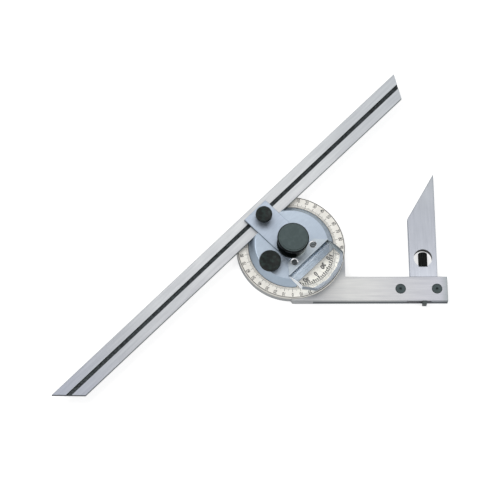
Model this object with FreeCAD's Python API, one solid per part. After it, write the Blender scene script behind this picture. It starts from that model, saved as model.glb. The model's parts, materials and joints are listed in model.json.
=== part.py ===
import FreeCAD, Part
import math
import os

Vector = FreeCAD.Vector
z_axis = Vector(0, 0, 1)
full_turn = 360.0

# Universal bevel protractor with a 300 mm blade, in millimetres.
# The origin is on the turret axis in the flat back plane, +Z points out of the dial,
# +X runs along the base bar to its free end and the working edge faces -Y.
# Turret pieces are drawn with the blade along local X and then turned to the set angle.

# Fits
fixed_fit = 0.02
running_fit = 0.05
slide_fit = 0.05
screw_gap = 0.05

# Base
stock_thickness = 5.0
disc_radius = 33.0
edge_stand = 1.6
bar_height = 15.8
bar_end_x = 95.0
corner_inset = 0.3
toe_x = 0.2
toe_run = 1.4
edge_break = 0.3
floor_thickness = 2.0
dial_seat_width = 2.0
dial_seat_z = 4.0

# Dial ring
dial_width = 7.0
dial_thickness = 2.0
dial_screw_count = 4
dial_screw_start = 20.0
dial_screw_bite = 1.3

# Small screws
screw_sides = 8
small_shank_radius = 0.8
small_head_radius = 1.6
small_head_height = 0.8

# Centre stud
stud_radius = 4.0
stud_flange_radius = 7.0
stud_flange_thickness = 1.5
stud_shaft_stand = 0.3
stud_thread_radius = 3.0
stud_top_z = 20.5
stud_screw_circle = 5.4
stud_screw_count = 3
stud_screw_bite = 1.3

# Fine adjustment gearing
gear_teeth = 58
pinion_teeth = 15
spare_modules = 4
gear_thickness = 1.75
pressure_angle = 20.0
tooth_backlash = 0.08
gear_flank_steps = 1
pinion_flank_steps = 3
pinion_place_angle = 176.5
pinion_shaft_radius = 1.5
pinion_end_gap = 0.1

# Turret
slope_run = 3.7
plateau_z = 10.5
rim_height = 1.95

# Blade
blade_set_angle = 44.2
blade_length = 300.0
blade_width = 14.5
blade_thickness = 2.3
blade_bottom_z = 6.9
blade_inner_offset = 19.75
blade_reach = 126.8
blade_edge_break = 0.25
near_bevel = 45.0
far_bevel = 60.0
groove_width = 2.5
groove_depth = 0.9

# Blade arm
arm_width = 18.3
arm_outer_offset = 31.2
arm_inner_offset = -6.2
arm_thickness = 2.35
arm_screw_half_gap = 6.4
arm_screw_offsets = (-3.6, 14.0)
arm_screw_shank = 1.0
arm_screw_head = 1.9
arm_screw_bite = 1.5

# Blade clamp
clamp_offset = 24.2
clamp_knob_radius = 5.12
clamp_knob_height = 3.2
clamp_neck_radius = 3.0
clamp_neck_height = 3.2
clamp_knob_gap = 0.4
clamp_screw_radius = 1.3
clamp_pad_radius = 1.4
clamp_pad_thickness = 0.5
clamp_lift = 0.4

# Central lock
lock_washer_radius = 9.3
lock_washer_thickness = 1.0
lock_knob_radius = 9.7
lock_neck_radius = 5.4
lock_knob_height = 10.8
lock_head_height = 3.0
lock_cap_radius = 8.3
lock_cap_thickness = 0.5
lock_rim_bevel = 0.9

# Fine adjustment knob
fine_knob_radius = 6.7
fine_knob_height = 3.5
fine_neck_radius = 4.2
fine_neck_height = 1.4
fine_knob_gap = 0.4

# Knurling
knurl_depth = 0.28
clamp_knurl_count = 22
fine_knurl_count = 28

# Vernier and magnifier
notch_end_gap = 0.3
vernier_thickness = 1.0
vernier_depth = 6.1
vernier_screw_half_gap = 9.0
vernier_screw_inset = 1.8
lens_centre = 1.0
lens_length = 34.0
lens_inner_offset = -13.4
lens_rim_inset = 0.2
lens_bottom_z = 9.0
lens_side_height = 1.6
lens_crown = 4.0
frame_foot_thickness = 0.8
frame_foot_offset = -6.8
frame_flange_thickness = 0.8
frame_flange_height = 1.9
frame_screw_bite = 2.2
frame_screw_half_gap = 8.1
frame_screw_offset = -9.1

# Bar end slot and its back plate
slot_left_run = 10.75
slot_right_run = 4.25
slot_depth_z = 2.7
back_plate_thickness = 1.5
back_plate_left_inset = 34.5
back_plate_right_inset = 1.6
bar_screw_insets = (28.8, 6.5)
bar_screw_head_radius = 3.2
bar_screw_head_height = 1.8
bar_screw_shank_radius = 1.5
bar_screw_socket_radius = 1.2
bar_screw_socket_depth = 1.0

# Acute angle attachment
attachment_end_inset = 14.35
attachment_width = 16.9
attachment_height = 67.1
attachment_thickness = 3.8
attachment_tip_angle = 30.0
attachment_seat_gap = 0.03
window_radius = 5.67
window_height = 12.2
lug_inner_x = 1.6
lug_outer_x = 3.4
lug_depth = 2.5

# Attachment nut and bolt
bolt_radius = 1.3
bolt_head_length = 1.9
bolt_head_half_height = 2.1
bolt_end_inset = 1.0
nut_radius = 2.8
nut_length = 9.4
nut_flutes = 12
nut_flute_depth = 0.3
nut_seat_gap = 0.03

# Sizes and levels worked out from those above
dial_inner_radius = disc_radius - dial_width
dial_screw_radius = disc_radius - dial_width / 2
chamber_radius = dial_inner_radius - dial_seat_width
plateau_radius = dial_inner_radius - slope_run
working_edge_y = -disc_radius - edge_stand
corner_x = disc_radius - corner_inset
gear_module = chamber_radius / (gear_teeth / 2 + pinion_teeth + spare_modules)
dial_top_z = dial_seat_z + dial_thickness
turret_bottom_z = dial_seat_z + running_fit
turret_radius = dial_inner_radius - running_fit
blade_top_z = blade_bottom_z + blade_thickness
blade_outer_offset = blade_inner_offset + blade_width
groove_centre = blade_inner_offset + blade_width / 2
arm_bottom_z = blade_top_z + slide_fit
arm_top_z = arm_bottom_z + arm_thickness
lock_washer_top_z = arm_top_z + lock_washer_thickness
gear_top_z = floor_thickness + gear_thickness
gear_pitch_radius = gear_module * gear_teeth / 2
pinion_pitch_radius = gear_module * pinion_teeth / 2
pinion_place_radius = gear_pitch_radius + pinion_pitch_radius
bar_top_y = working_edge_y + bar_height
bar_middle_y = working_edge_y + bar_height / 2
bar_screw_x = [bar_end_x - inset for inset in bar_screw_insets]
back_plate_left_x = bar_end_x - back_plate_left_inset
back_plate_right_x = bar_end_x - back_plate_right_inset
attachment_centre_x = bar_end_x - attachment_end_inset
slot_left_x = attachment_centre_x - slot_left_run
slot_right_x = attachment_centre_x + slot_right_run
slot_centre_z = back_plate_thickness + slot_depth_z / 2
attachment_bottom_y = bar_top_y + attachment_seat_gap
window_y = bar_top_y + window_height
nut_seat_y = window_y - window_radius - running_fit
notch_left = lens_centre - lens_length / 2 - notch_end_gap
notch_right = lens_centre + lens_length / 2 + notch_end_gap
notch_offset = lens_inner_offset + fixed_fit
lens_shelf_z = lens_bottom_z - fixed_fit
lens_outer_radius = disc_radius - lens_rim_inset
vernier_inner_offset = vernier_depth - dial_inner_radius
vernier_screw_offset = vernier_inner_offset - vernier_screw_inset


def cylinder(radius, low, high, x=0.0, y=0.0):
    return Part.makeCylinder(radius, high - low, Vector(x, y, low), z_axis)


def box(x_low, x_high, y_low, y_high, z_low, z_high):
    size = (x_high - x_low, y_high - y_low, z_high - z_low)
    return Part.makeBox(*size, Vector(x_low, y_low, z_low))


def prism(outline, low, high):
    corners = [Vector(x, y, low) for x, y in outline]
    face = Part.Face(Part.makePolygon(corners + corners[:1]))
    return face.extrude(Vector(0, 0, high - low))


def lathe(profile):
    corners = [Vector(radius, 0, z) for radius, z in profile]
    face = Part.Face(Part.makePolygon(corners + corners[:1]))
    return face.revolve(Vector(0, 0, 0), z_axis, full_turn)


def around(count, start, radius):
    for index in range(count):
        angle = math.radians(start + index * full_turn / count)
        yield radius * math.cos(angle), radius * math.sin(angle)


def union(shapes):
    return shapes[0].fuse(shapes[1:]).removeSplitter()


def break_edges(shape, size, chosen):
    edges = [edge for edge in shape.Edges if chosen(edge.BoundBox)]
    return shape.makeChamfer(size, edges)


def set_on_turret(shape):
    turned = shape.copy()
    turned.rotate(Vector(0, 0, 0), z_axis, blade_set_angle)
    return turned


def save(name, shape):
    shape.exportStep("parts/" + name + ".step")


# Screws

def ring_prism(sides, radius, low, high, start=0.0):
    return prism(list(around(sides, start, radius)), low, high)


def screw_shape(shank, head, head_height, length):
    # The head's flat face lies in z = 0 and the shank points to +Z.
    top = ring_prism(screw_sides, head, 0, head_height)
    return union([top, ring_prism(screw_sides, shank, 0, length)])


def screw_hole(shank, head, head_height, length):
    # A fit wider and longer than the screw, whose head bears on the step.
    top = ring_prism(screw_sides, head + fixed_fit, -fixed_fit, head_height)
    return union([top, ring_prism(screw_sides, shank + fixed_fit, -fixed_fit, length + fixed_fit)])


def small_screw(length):
    return screw_shape(small_shank_radius, small_head_radius, small_head_height, length)


def small_hole(length):
    return screw_hole(small_shank_radius, small_head_radius, small_head_height, length)


def moved(shape, x, y, z, upside_down=False):
    copy = shape.copy()
    if upside_down:
        copy.rotate(Vector(0, 0, 0), Vector(1, 0, 0), full_turn / 2)
    copy.translate(Vector(x, y, z))
    return copy


# Base

def dial_screw_places():
    return list(around(dial_screw_count, dial_screw_start, dial_screw_radius))


def stud_screw_places():
    return list(around(stud_screw_count, -full_turn / 4, stud_screw_circle))


dial_screw_length = dial_seat_z + dial_screw_bite
stud_screw_length = floor_thickness + stud_screw_bite


def stock_blank():
    disc = cylinder(disc_radius, 0, stock_thickness)
    outline = [(toe_x - toe_run, 0), (toe_x - toe_run, -disc_radius + edge_break)]
    outline += [(toe_x, working_edge_y), (bar_end_x, working_edge_y), (bar_end_x, bar_top_y)]
    outline += [(corner_x, bar_top_y), (corner_x, 0)]
    body = union([prism(outline, 0, stock_thickness), disc])

    def on_bar(bounds):
        on_face = bounds.ZLength < edge_break and bounds.ZMin > stock_thickness - edge_break
        return on_face and bounds.XMax > corner_x + edge_break

    return break_edges(body, edge_break, on_bar)


def bar_end_recess():
    recess = box(back_plate_left_x, back_plate_right_x, working_edge_y, bar_top_y, 0, back_plate_thickness)
    slot_top = back_plate_thickness + slot_depth_z
    slot = box(slot_left_x, slot_right_x, working_edge_y - 1, bar_top_y + 1, 0, slot_top)
    return [recess, slot]


def stock_body():
    body = stock_blank()
    cuts = [cylinder(disc_radius + fixed_fit, dial_seat_z, stock_thickness + 1)]
    cuts.append(cylinder(chamber_radius, floor_thickness, stock_thickness))
    cuts += [moved(small_hole(dial_screw_length), x, y, 0) for x, y in dial_screw_places()]
    cuts += [moved(small_hole(stud_screw_length), x, y, 0) for x, y in stud_screw_places()]
    cuts += bar_end_recess()
    head_z = stock_thickness - bar_screw_head_height - fixed_fit
    for x in bar_screw_x:
        head_room = cylinder(bar_screw_head_radius + fixed_fit, head_z, stock_thickness + 1)
        cuts.append(moved(head_room, x, bar_middle_y, 0))
        cuts.append(moved(bar_screw_hole(), x, bar_middle_y, 0))
    return body.cut(cuts)


def bar_screw_hole():
    return ring_prism(screw_sides, bar_screw_shank_radius + fixed_fit, -1, stock_thickness)


def bar_back_plate():
    left = back_plate_left_x + fixed_fit
    right = back_plate_right_x - fixed_fit
    plate = box(left, right, working_edge_y, bar_top_y, 0, back_plate_thickness)
    return plate.cut([moved(bar_screw_hole(), x, bar_middle_y, 0) for x in bar_screw_x])


def bar_screw():
    # The head is flush with the front of the bar and the shank ends short of the back.
    top = stock_thickness
    shoulder = top - bar_screw_head_height
    head = cylinder(bar_screw_head_radius, shoulder, top)
    shank = ring_prism(screw_sides, bar_screw_shank_radius, edge_break, shoulder)
    socket = ring_prism(6, bar_screw_socket_radius, top - bar_screw_socket_depth, top + 1)
    return union([head, shank]).cut(socket)


def bar_screws():
    return Part.makeCompound([moved(bar_screw(), x, bar_middle_y, 0) for x in bar_screw_x])


def dial_ring():
    cuts = [cylinder(dial_inner_radius, dial_seat_z - 1, dial_top_z + 1)]
    cuts += [moved(small_hole(dial_screw_length), x, y, 0) for x, y in dial_screw_places()]
    return cylinder(disc_radius, dial_seat_z, dial_top_z).cut(cuts)


def dial_screws():
    screw = small_screw(dial_screw_length)
    return Part.makeCompound([moved(screw, x, y, 0) for x, y in dial_screw_places()])


def involute_outline(teeth, flank_steps):
    # Points run anticlockwise, with one tooth centred on the X axis.
    thinning = tooth_backlash / 2
    pitch = gear_module * teeth / 2
    base = pitch * math.cos(math.radians(pressure_angle))
    tip = pitch + gear_module * 0.95
    root = pitch - gear_module * 1.25
    start = max(base, root)

    def roll(radius):
        ratio = math.acos(min(1.0, base / radius))
        return math.tan(ratio) - ratio

    half_tooth = math.pi / (2 * teeth) - thinning / (2 * pitch) + roll(pitch)
    radii = [start + (tip - start) * step / flank_steps for step in range(flank_steps + 1)]
    flank = [(radius, half_tooth - roll(radius)) for radius in radii]
    if root < start:
        flank.insert(0, (root, half_tooth - roll(start)))
    points = []
    for tooth in range(teeth):
        centre = tooth * 2 * math.pi / teeth
        both = [(radius, centre - angle) for radius, angle in flank]
        both += [(radius, centre + angle) for radius, angle in reversed(flank)]
        points += [(radius * math.cos(angle), radius * math.sin(angle)) for radius, angle in both]
    return points


def pinion_centre():
    angle = math.radians(pinion_place_angle + blade_set_angle)
    return pinion_place_radius * math.cos(angle), pinion_place_radius * math.sin(angle)


def flange_prism(radius, low, high):
    # Six sided, with a corner over each stud screw.
    return ring_prism(6, radius, low, high, full_turn / 12)


def base_gear():
    gear = prism(involute_outline(gear_teeth, gear_flank_steps), floor_thickness, gear_top_z)
    gear.rotate(Vector(0, 0, 0), z_axis, pinion_place_angle + blade_set_angle)
    return gear.cut(flange_prism(stud_flange_radius + 2 * fixed_fit, 0, gear_top_z + 1))


def stud_screws():
    screw = small_screw(stud_screw_length)
    return Part.makeCompound([moved(screw, x, y, 0) for x, y in stud_screw_places()])


def centre_stud():
    low = floor_thickness
    shoulder = low + stud_flange_thickness
    shaft_top = arm_top_z + stud_shaft_stand
    flange = flange_prism(stud_flange_radius, low, shoulder)
    shaft = cylinder(stud_radius, shoulder, shaft_top)
    stud = union([flange, shaft, cylinder(stud_thread_radius, shaft_top, stud_top_z)])
    return stud.cut([moved(small_hole(stud_screw_length), x, y, 0) for x, y in stud_screw_places()])


# Turret

def arm_screw_places():
    for offset in arm_screw_offsets:
        for side in (-1, 1):
            yield side * arm_screw_half_gap, offset


def frame_screw_places():
    return [(lens_centre + side * frame_screw_half_gap, frame_screw_offset) for side in (-1, 1)]


def vernier_screw_places():
    return [(lens_centre + side * vernier_screw_half_gap, vernier_screw_offset) for side in (-1, 1)]


def pinion_local():
    angle = math.radians(pinion_place_angle)
    return pinion_place_radius * math.cos(angle), pinion_place_radius * math.sin(angle)


arm_screw_length = arm_bottom_z - turret_bottom_z + arm_screw_bite
frame_screw_length = frame_foot_thickness + frame_screw_bite
vernier_floor_z = dial_top_z - vernier_thickness
vernier_screw_length = dial_top_z - turret_bottom_z - 0.2


def arm_hole():
    return screw_hole(arm_screw_shank, arm_screw_head, arm_screw_head / 2, arm_screw_length)


def turret_body():
    bottom = turret_bottom_z
    rim = bottom + rim_height
    bore = stud_radius + running_fit
    profile = [(bore, bottom), (turret_radius, bottom), (turret_radius, rim)]
    profile += [(plateau_radius, plateau_z), (bore, plateau_z)]
    far = disc_radius
    top = plateau_z + 1
    side = arm_width / 2 + fixed_fit
    seat = blade_bottom_z - slide_fit
    cuts = [box(-far, far, blade_inner_offset - slide_fit, far, seat, top)]
    cuts.append(box(-side, side, arm_inner_offset - fixed_fit, far, arm_bottom_z, top))
    cuts.append(box(notch_left, notch_right, -far, notch_offset, lens_shelf_z, top))
    cuts.append(box(notch_left, notch_right, -far, vernier_inner_offset, vernier_floor_z, top))
    x, y = pinion_local()
    cuts.append(cylinder(pinion_shaft_radius + running_fit, bottom - 1, top, x, y))
    cuts += [moved(arm_hole(), x, y, bottom) for x, y in arm_screw_places()]
    frame_hole = small_hole(frame_screw_length)
    frame_top = plateau_z + frame_foot_thickness
    cuts += [moved(frame_hole, x, y, frame_top, True) for x, y in frame_screw_places()]
    vernier_hole = small_hole(vernier_screw_length)
    cuts += [moved(vernier_hole, x, y, bottom) for x, y in vernier_screw_places()]
    return set_on_turret(lathe(profile).cut(cuts))


def blade_arm():
    half = arm_width / 2
    plate = box(-half, half, arm_inner_offset, arm_outer_offset, arm_bottom_z, arm_top_z)

    def on_top(bounds):
        return bounds.ZMin > arm_top_z - edge_break

    plate = break_edges(plate, edge_break, on_top)
    rib_half = groove_width / 2 - slide_fit
    rib_low = blade_top_z - groove_depth + 2 * slide_fit
    rib = box(-half, half, groove_centre - rib_half, groove_centre + rib_half, rib_low, arm_bottom_z)
    arm = union([plate, rib])
    pad_room = arm_bottom_z + clamp_pad_thickness + clamp_lift
    cuts = [cylinder(stud_radius + 2 * running_fit, 0, arm_top_z + 1)]
    cuts.append(cylinder(clamp_pad_radius + running_fit, 0, pad_room, 0, clamp_offset))
    cuts.append(cylinder(clamp_screw_radius + screw_gap, pad_room, arm_top_z + 1, 0, clamp_offset))
    cuts += [moved(arm_hole(), x, y, turret_bottom_z) for x, y in arm_screw_places()]
    return set_on_turret(arm.cut(cuts))


def arm_screws():
    screw = screw_shape(arm_screw_shank, arm_screw_head, arm_screw_head / 2, arm_screw_length)
    group = [moved(screw, x, y, turret_bottom_z) for x, y in arm_screw_places()]
    return set_on_turret(Part.makeCompound(group))


def vernier_plate():
    # Held from below, so that its face is clear for the scale.
    left = notch_left + fixed_fit
    right = notch_right - fixed_fit
    limit = vernier_inner_offset - fixed_fit
    sheet = box(left, right, -disc_radius, limit, vernier_floor_z, dial_top_z)
    sheet = sheet.common(cylinder(turret_radius, vernier_floor_z, dial_top_z))
    hole = small_hole(vernier_screw_length)
    holes = [moved(hole, x, y, turret_bottom_z) for x, y in vernier_screw_places()]
    return set_on_turret(sheet.cut(holes))


def vernier_screws():
    screw = small_screw(vernier_screw_length)
    group = [moved(screw, x, y, turret_bottom_z) for x, y in vernier_screw_places()]
    return set_on_turret(Part.makeCompound(group))


def lens_frame():
    half = lens_length / 2
    left = lens_centre - half
    right = lens_centre + half
    foot_top = plateau_z + frame_foot_thickness
    foot_half = frame_screw_half_gap + 2 * small_head_radius
    foot = [(lens_centre - foot_half, frame_foot_offset), (left, lens_inner_offset)]
    foot += [(right, lens_inner_offset), (lens_centre + foot_half, frame_foot_offset)]
    flange_inner = lens_inner_offset + frame_flange_thickness
    flange_top = plateau_z + frame_flange_height
    flange = box(left, right, lens_inner_offset, flange_inner, plateau_z, flange_top)
    frame = union([prism(foot, plateau_z, foot_top), flange])
    hole = small_hole(frame_screw_length)
    holes = [moved(hole, x, y, foot_top, True) for x, y in frame_screw_places()]
    return set_on_turret(frame.cut(holes))


def lens_frame_screws():
    screw = small_screw(frame_screw_length)
    height = plateau_z + frame_foot_thickness
    group = [moved(screw, x, y, height, True) for x, y in frame_screw_places()]
    return set_on_turret(Part.makeCompound(group))


def magnifier_lens():
    # Flat underside, straight sides and a crowned top. Its outer edge follows the dial's rim.
    left = lens_centre - lens_length / 2
    inner = lens_inner_offset
    outer = -lens_outer_radius
    side_top = lens_bottom_z + lens_side_height
    crown = Vector(left, (inner + outer) / 2, side_top + lens_crown)
    corners = [Vector(left, inner, side_top), Vector(left, inner, lens_bottom_z)]
    corners += [Vector(left, outer, lens_bottom_z), Vector(left, outer, side_top)]
    sides = [Part.LineSegment(corners[index], corners[index + 1]).toShape() for index in range(3)]
    arc = Part.Arc(corners[3], crown, corners[0]).toShape()
    face = Part.Face(Part.Wire(sides + [arc]))
    bar = face.extrude(Vector(lens_length, 0, 0))
    return set_on_turret(bar.common(cylinder(lens_outer_radius, lens_bottom_z, side_top + lens_crown + 1)))


# Knobs

def fluted_outline(radius, count, depth):
    points = []
    for index in range(2 * count):
        angle = math.pi * index / count
        reach = radius - depth * (index % 2)
        points.append((reach * math.cos(angle), reach * math.sin(angle)))
    return points


def necked_knob(outline, neck_radius, low, head_low, high):
    return union([cylinder(neck_radius, low, head_low), prism(outline, head_low, high)])


def fine_knob_top():
    return plateau_z + fine_knob_gap + fine_neck_height + fine_knob_height


def fine_adjust_knob():
    low = plateau_z + fine_knob_gap
    high = fine_knob_top()
    outline = fluted_outline(fine_knob_radius, fine_knurl_count, knurl_depth)
    knob = necked_knob(outline, fine_neck_radius, low, low + fine_neck_height, high)
    knob = knob.cut(cylinder(pinion_shaft_radius + fixed_fit, low - 1, high - 1))
    return moved(knob, *pinion_centre(), 0)


def pinion_shaft():
    low = floor_thickness + pinion_end_gap
    high = gear_top_z - pinion_end_gap
    knob_top = fine_knob_top()
    teeth = prism(involute_outline(pinion_teeth, pinion_flank_steps), low, high)
    half_tooth = full_turn / 2 / pinion_teeth
    teeth.rotate(Vector(0, 0, 0), z_axis, pinion_place_angle + blade_set_angle + full_turn / 2 + half_tooth)
    shaft = cylinder(pinion_shaft_radius, high, knob_top - 1 - fixed_fit)
    return moved(union([teeth, shaft]), *pinion_centre(), 0)


# Central lock

def lock_washer():
    washer = cylinder(lock_washer_radius, arm_top_z, lock_washer_top_z)
    return washer.cut(cylinder(stud_radius + 2 * running_fit, arm_top_z - 1, lock_washer_top_z + 1))


def lock_knob_top():
    return lock_washer_top_z + lock_knob_height


def lock_knob():
    # The cap closes the bore, and stands up to the knob's full height.
    low = lock_washer_top_z
    high = lock_knob_top() - lock_cap_thickness
    head = lock_knob_top() - lock_head_height
    outer = lock_knob_radius
    bore = stud_thread_radius + screw_gap
    profile = [(bore, low), (lock_neck_radius, low), (lock_neck_radius, head), (outer, head)]
    profile += [(outer, high - lock_rim_bevel), (outer - lock_rim_bevel, high), (bore, high)]
    return lathe(profile)


def lock_knob_cap():
    low = lock_knob_top() - lock_cap_thickness
    return cylinder(lock_cap_radius, low, lock_knob_top())


# Blade and its clamp

def blade():
    inner = blade_inner_offset
    outer = blade_outer_offset
    low = blade_bottom_z
    high = blade_top_z
    bevel = blade_edge_break
    groove_low = groove_centre - groove_width / 2
    groove_high = groove_centre + groove_width / 2
    floor = high - groove_depth
    section = [(inner, low), (outer, low), (outer, high - bevel), (outer - bevel, high)]
    section += [(groove_high, high), (groove_high, floor), (groove_low, floor), (groove_low, high)]
    section += [(inner + bevel, high), (inner, high - bevel)]
    start = blade_reach - blade_length
    corners = [Vector(start, y, z) for y, z in section]
    face = Part.Face(Part.makePolygon(corners + corners[:1]))
    strip = face.extrude(Vector(blade_length, 0, 0))
    near_run = blade_width / math.tan(math.radians(near_bevel))
    far_run = blade_width / math.tan(math.radians(far_bevel))
    outline = [(start, outer), (start + near_run, inner)]
    outline += [(blade_reach - far_run, inner), (blade_reach, outer)]
    return set_on_turret(strip.common(prism(outline, low - 1, high + 1)))


def clamp_pad_low():
    return blade_top_z + slide_fit / 2


def blade_clamp_pad():
    low = clamp_pad_low()
    return set_on_turret(cylinder(clamp_pad_radius, low, low + clamp_pad_thickness, 0, clamp_offset))


def clamp_knob_low():
    return arm_top_z + clamp_knob_gap


def clamp_knob_top():
    return clamp_knob_low() + clamp_neck_height + clamp_knob_height


def blade_clamp_screw():
    low = clamp_pad_low() + clamp_pad_thickness
    high = clamp_knob_top() - 1
    return set_on_turret(cylinder(clamp_screw_radius, low, high, 0, clamp_offset))


def blade_clamp_knob():
    low = clamp_knob_low()
    high = clamp_knob_top()
    outline = fluted_outline(clamp_knob_radius, clamp_knurl_count, knurl_depth)
    knob = necked_knob(outline, clamp_neck_radius, low, low + clamp_neck_height, high)
    knob = knob.cut(cylinder(clamp_screw_radius + fixed_fit, low - 1, high - 1 + fixed_fit))
    return set_on_turret(moved(knob, 0, clamp_offset, 0))


# Acute angle attachment

def along_y(shape, y):
    # A shape turned about Z is laid along +Y in the middle plane of the slot.
    laid = shape.copy()
    laid.rotate(Vector(0, 0, 0), Vector(1, 0, 0), -full_turn / 4)
    laid.translate(Vector(attachment_centre_x, y, slot_centre_z))
    return laid


def acute_attachment():
    half = attachment_width / 2
    left = attachment_centre_x - half
    right = attachment_centre_x + half
    tip_y = bar_top_y + attachment_height
    shoulder_y = tip_y - attachment_width / math.tan(math.radians(attachment_tip_angle))
    low = slot_centre_z - attachment_thickness / 2
    high = slot_centre_z + attachment_thickness / 2
    outline = [(left, attachment_bottom_y), (right, attachment_bottom_y), (right, tip_y), (left, shoulder_y)]
    plate = prism(outline, low, high)

    def on_face(bounds):
        flat = bounds.ZLength < edge_break and bounds.ZMin > high - edge_break
        return flat and bounds.YMax > bar_top_y + 1

    plate = break_edges(plate, edge_break, on_face)
    lug_half = slot_depth_z / 2 - slide_fit
    lugs = []
    for side in (-1, 1):
        ends = sorted((side * lug_inner_x, side * lug_outer_x))
        x_low, x_high = (attachment_centre_x + end for end in ends)
        y_low = bar_top_y - lug_depth
        lug_low = slot_centre_z - lug_half
        lug_high = slot_centre_z + lug_half
        lugs.append(box(x_low, x_high, y_low, attachment_bottom_y, lug_low, lug_high))
    body = union([plate] + lugs)
    window = cylinder(window_radius, low - 1, high + 1, attachment_centre_x, window_y)
    seat_half = nut_radius + running_fit
    seat_left = attachment_centre_x - seat_half
    seat_right = attachment_centre_x + seat_half
    seat = box(seat_left, seat_right, nut_seat_y, window_y, low - 1, high + 1)
    bore_length = nut_seat_y - attachment_bottom_y + 2
    bore = along_y(cylinder(bolt_radius + running_fit, 0, bore_length), attachment_bottom_y - 1)
    return body.cut([window, seat, bore])


def attachment_nut():
    nut = prism(fluted_outline(nut_radius, nut_flutes, nut_flute_depth), 0, nut_length)
    nut = nut.cut(cylinder(bolt_radius + screw_gap, -1, nut_length + 1))
    return along_y(nut, nut_seat_y + nut_seat_gap)


def attachment_bolt():
    head_top_y = working_edge_y - attachment_seat_gap
    shank_end_y = nut_seat_y + nut_length - bolt_end_inset
    shank = along_y(cylinder(bolt_radius, 0, shank_end_y - head_top_y), head_top_y)
    left = attachment_centre_x - bolt_radius
    right = attachment_centre_x + bolt_radius
    low = slot_centre_z - bolt_head_half_height
    high = slot_centre_z + bolt_head_half_height
    head = box(left, right, head_top_y - bolt_head_length, head_top_y, low, high)
    return union([head, shank])


pieces = {
    "stock_body": stock_body,
    "bar_back_plate": bar_back_plate,
    "bar_screws": bar_screws,
    "dial_ring": dial_ring,
    "dial_screws": dial_screws,
    "base_gear": base_gear,
    "centre_stud": centre_stud,
    "stud_screws": stud_screws,
    "turret_body": turret_body,
    "blade_arm": blade_arm,
    "arm_screws": arm_screws,
    "vernier_plate": vernier_plate,
    "vernier_screws": vernier_screws,
    "lens_frame": lens_frame,
    "lens_frame_screws": lens_frame_screws,
    "magnifier_lens": magnifier_lens,
    "fine_adjust_knob": fine_adjust_knob,
    "pinion_shaft": pinion_shaft,
    "lock_washer": lock_washer,
    "lock_knob": lock_knob,
    "lock_knob_cap": lock_knob_cap,
    "blade": blade,
    "blade_clamp_pad": blade_clamp_pad,
    "blade_clamp_screw": blade_clamp_screw,
    "blade_clamp_knob": blade_clamp_knob,
    "acute_attachment": acute_attachment,
    "attachment_nut": attachment_nut,
    "attachment_bolt": attachment_bolt,
}

os.makedirs("parts", exist_ok=True)
for name, make in pieces.items():
    save(name, make())
print(len(pieces), "pieces written")
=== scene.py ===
import json
import math

import bmesh
import bpy
from mathutils import Matrix, Vector


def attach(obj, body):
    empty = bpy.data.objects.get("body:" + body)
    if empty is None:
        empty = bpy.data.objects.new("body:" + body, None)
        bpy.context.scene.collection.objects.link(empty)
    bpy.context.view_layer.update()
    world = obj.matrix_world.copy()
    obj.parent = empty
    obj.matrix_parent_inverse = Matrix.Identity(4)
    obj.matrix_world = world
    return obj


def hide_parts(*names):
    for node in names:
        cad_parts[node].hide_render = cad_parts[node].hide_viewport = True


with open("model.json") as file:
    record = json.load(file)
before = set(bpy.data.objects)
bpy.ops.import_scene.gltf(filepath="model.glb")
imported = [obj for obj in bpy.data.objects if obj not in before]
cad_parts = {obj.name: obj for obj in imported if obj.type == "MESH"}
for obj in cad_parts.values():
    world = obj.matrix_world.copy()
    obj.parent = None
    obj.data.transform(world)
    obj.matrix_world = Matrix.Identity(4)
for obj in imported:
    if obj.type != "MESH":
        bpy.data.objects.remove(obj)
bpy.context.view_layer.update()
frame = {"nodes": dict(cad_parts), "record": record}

# Universal bevel protractor: a dial with a turning turret, a sliding grooved blade, a vernier under a
# magnifier, a fine adjustment knob and an acute angle attachment on the base bar. A name that ends in Mm
# holds millimetres, and Blender's own lengths are metres.

mm = 0.001
bladeSetAngle = math.radians(44.2)  # the blade against +X at rest
discSteps = 240                     # corners round the dial and the turret
pastMm = 1.0                        # a cutter reaches this far past what it cuts
sameMm = 0.01                       # heights this near to each other are the same
boxFaces = [(3, 2, 1, 0), (4, 5, 6, 7), (0, 1, 5, 4), (1, 2, 6, 5), (2, 3, 7, 6), (3, 0, 4, 7)]
print("frame loaded:", len(frame["nodes"]), "nodes")


# Small tools

def linear(hexColour):
    channels = [int(hexColour[index:index + 2], 16) / 255 for index in (1, 3, 5)]
    curve = [value / 12.92 if value <= 0.04045 else ((value + 0.055) / 1.055) ** 2.4 for value in channels]
    return (*curve, 1.0)


def grey(value):
    return (value, value, value, 1.0)


def addNode(tree, kind, inputs=None, stops=(), **settings):
    # An input is a value, a socket, or a node that gives its first output. stops are the places and
    # colours of a colour ramp.
    node = tree.nodes.new("ShaderNode" + kind)
    for name, value in settings.items():
        setattr(node, name, value)
    for name, value in (inputs or {}).items():
        source = value.outputs[0] if isinstance(value, bpy.types.Node) else value
        if isinstance(source, bpy.types.NodeSocket):
            tree.links.new(source, node.inputs[name])
        else:
            node.inputs[name].default_value = source
    while stops and len(node.color_ramp.elements) < len(stops):
        node.color_ramp.elements.new(1.0)
    for index, (place, shade) in enumerate(stops):
        node.color_ramp.elements[index].position = place
        node.color_ramp.elements[index].color = shade
    return node


def newMaterial(name):
    material = bpy.data.materials.new(name)
    material.use_nodes = True
    material.node_tree.nodes.clear()
    return material, material.node_tree


def onTurret(x, y, z):
    # A point given with the blade along local X, in millimetres, in its place at rest.
    cosine, sine = math.cos(bladeSetAngle), math.sin(bladeSetAngle)
    return Vector(((x * cosine - y * sine) * mm, (x * sine + y * cosine) * mm, z * mm))


def placesOnTurret(places):
    return [tuple(onTurret(x, y, 0) / mm)[:2] for x, y in places]


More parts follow.
